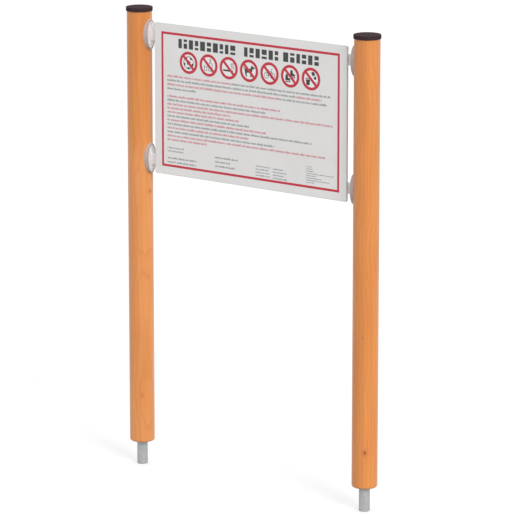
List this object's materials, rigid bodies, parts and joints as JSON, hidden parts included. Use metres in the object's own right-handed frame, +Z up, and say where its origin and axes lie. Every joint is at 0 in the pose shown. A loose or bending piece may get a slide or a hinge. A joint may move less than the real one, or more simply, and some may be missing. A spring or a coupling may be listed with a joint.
{
  "type": "park interpretation sign",
  "caption": "Flat rules board with grey surround, held by oval saddle brackets between round glazed pine posts with dark caps and steel ground anchors.",
  "frame": {"origin": "midway between the posts, in the plane of the ground anchors' lower ends", "axes": "+X along the panel to the reader's right, the printed face looks to -Y, +Z up"},
  "size_m": [1.2056, 0.1056, 1.859],
  "materials": {
    "glazed_pine": "satin glaze",
    "dark_plastic": "matt",
    "galvanised_steel": "galvanised",
    "grey_plastic": "satin",
    "screw_steel": "stainless",
    "bolt_steel": "stainless",
    "panel_board": "satin",
    "print": "laminated print"
  },
  "bodies": {
    "root": {"post_left": "glazed_pine", "post_cap_left": "dark_plastic", "ground_anchor_left": "galvanised_steel", "post_right": "glazed_pine", "post_cap_right": "dark_plastic", "ground_anchor_right": "galvanised_steel", "bracket_upper_left": "grey_plastic", "bracket_screws_upper_left": "screw_steel", "panel_bolt_upper_left": "bolt_steel", "panel_washer_upper_left": "bolt_steel", "panel_nut_upper_left": "bolt_steel", "bracket_lower_left": "grey_plastic", "bracket_screws_lower_left": "screw_steel", "panel_bolt_lower_left": "bolt_steel", "panel_washer_lower_left": "bolt_steel", "panel_nut_lower_left": "bolt_steel", "bracket_upper_right": "grey_plastic", "bracket_screws_upper_right": "screw_steel", "panel_bolt_upper_right": "bolt_steel", "panel_washer_upper_right": "bolt_steel", "panel_nut_upper_right": "bolt_steel", "bracket_lower_right": "grey_plastic", "bracket_screws_lower_right": "screw_steel", "panel_bolt_lower_right": "bolt_steel", "panel_washer_lower_right": "bolt_steel", "panel_nut_lower_right": "bolt_steel", "panel": "panel_board", "print_film": "print"}
  },
  "joints": []
}
